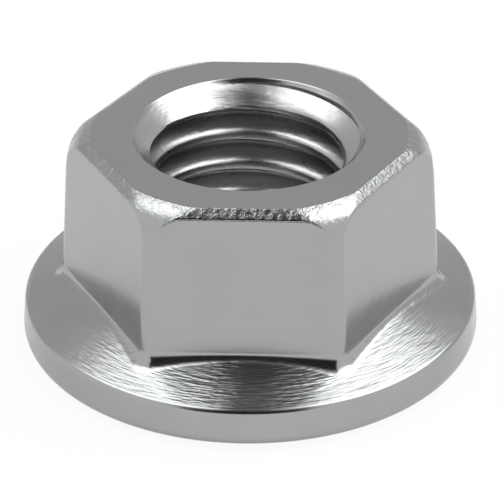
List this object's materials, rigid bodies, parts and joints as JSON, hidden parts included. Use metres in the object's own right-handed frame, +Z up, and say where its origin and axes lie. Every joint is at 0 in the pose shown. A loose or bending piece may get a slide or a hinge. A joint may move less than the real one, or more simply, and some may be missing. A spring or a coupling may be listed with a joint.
{
  "type": "serrated flange nut",
  "caption": "Hexagon nut with an integral round flange, serrated underneath so that it resists working loose, with a coarse right-hand thread.",
  "frame": {"origin": "centre of the bearing face, in the plane of the serrations' tips", "axes": "+Z up the thread's axis from the flange to the top face; two opposite flats of the hexagon face -Y and +Y, and two corners lie on the X axis"},
  "size_m": [0.0166, 0.0166, 0.008],
  "materials": {
    "zinc_plated_steel": "satin"
  },
  "bodies": {
    "root": {"flange_nut": "zinc_plated_steel"}
  },
  "joints": []
}
